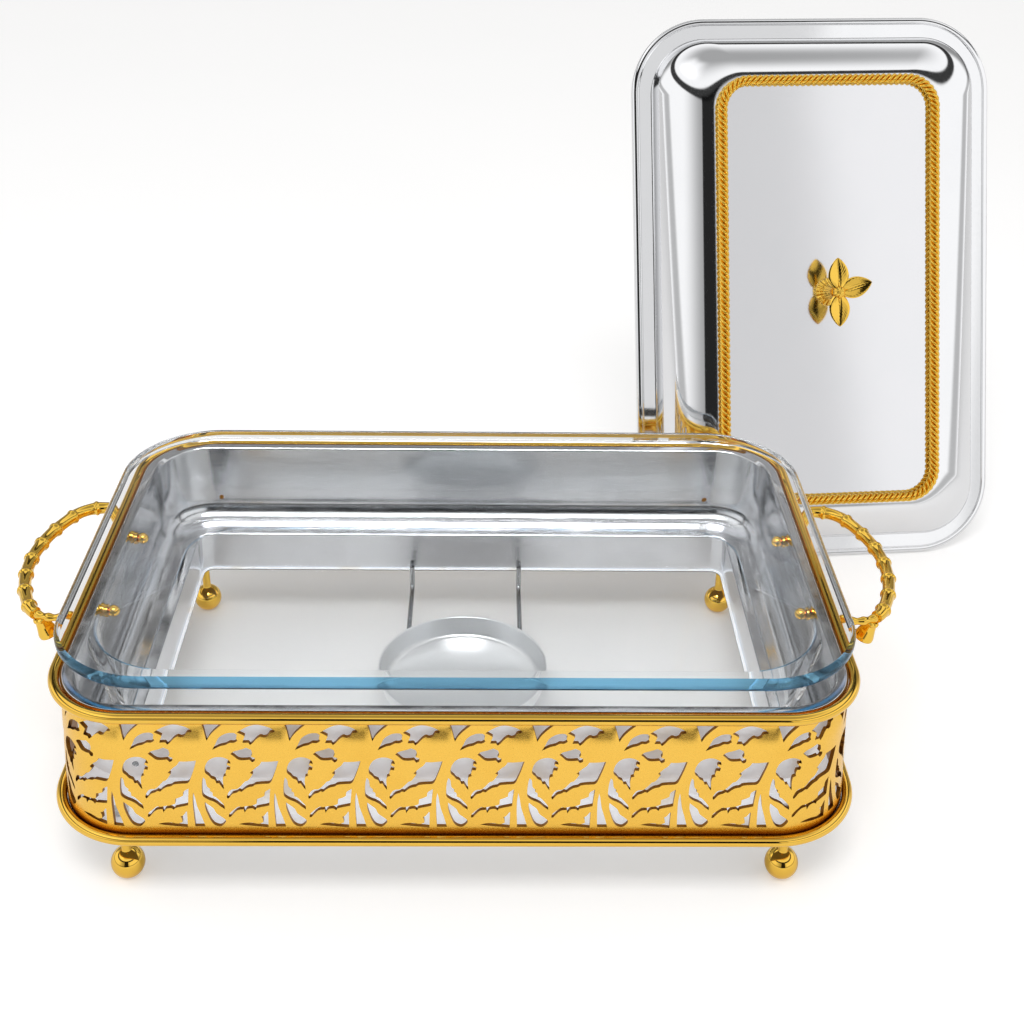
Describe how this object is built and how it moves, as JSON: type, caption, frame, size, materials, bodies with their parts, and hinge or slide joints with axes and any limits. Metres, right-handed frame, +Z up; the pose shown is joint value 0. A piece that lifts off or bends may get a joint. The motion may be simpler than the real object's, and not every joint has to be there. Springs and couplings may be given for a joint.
{
  "type": "glass food warmer",
  "caption": "Buffet food warmer: rectangular glass dish in a pierced gold stand with a steel liner, bamboo-shaped loop handles, ball feet, a burner pan on wires and a loose domed steel lid.",
  "frame": {"origin": "on the table, in the middle between the stand's four ball feet", "axes": "+X to the right along the stand's length, +Y to the back, +Z up; the lid stands loose at the back right"},
  "size_m": [0.6102, 0.4744, 0.3468],
  "materials": {
    "gold": "polished gold plate",
    "gold_band": "satin gold plate",
    "mirror_steel": "mirror-polished stainless steel",
    "steel_sheet": "plain stainless steel",
    "burner_steel": "drawn steel wire",
    "satin_steel": "satin stainless steel",
    "clear_glass": "clear pressed glass"
  },
  "bodies": {
    "stand": {"pierced_band": "gold_band", "upper_wire_ring": "gold", "lower_wire_ring": "gold", "base_frame": "steel_sheet", "steel_liner": "mirror_steel", "ball_foot_front_left": "gold", "ball_foot_front_right": "gold", "ball_foot_rear_left": "gold", "ball_foot_rear_right": "gold", "foot_nuts": "steel_sheet", "left_handle": "gold", "right_handle": "gold", "handle_screws": "steel_sheet", "handle_spacers": "steel_sheet", "handle_washers": "steel_sheet", "handle_ball_nuts": "gold", "burner_wire_left": "burner_steel", "burner_wire_right": "burner_steel"},
    "dish": {"glass_dish": "clear_glass"},
    "burner": {"burner_pan": "satin_steel"},
    "lid": {"lid_shell": "mirror_steel", "lid_rope_trim": "gold", "knob_stem": "gold", "knob_flower": "gold", "knob_screw": "steel_sheet", "knob_washer": "steel_sheet"}
  },
  "joints": [
    {"name": "dish_lift", "type": "slide", "parent": "stand", "child": "dish", "axis": [0, 0, 1], "range_m": [0, 0.16]},
    {"name": "burner_lift", "type": "slide", "parent": "stand", "child": "burner", "axis": [0, 0, 1], "range_m": [0, 0.018]},
    {"name": "lid_lift", "type": "slide", "parent": "stand", "child": "lid", "axis": [0, 0, 1], "range_m": [0, 0.15]}
  ]
}
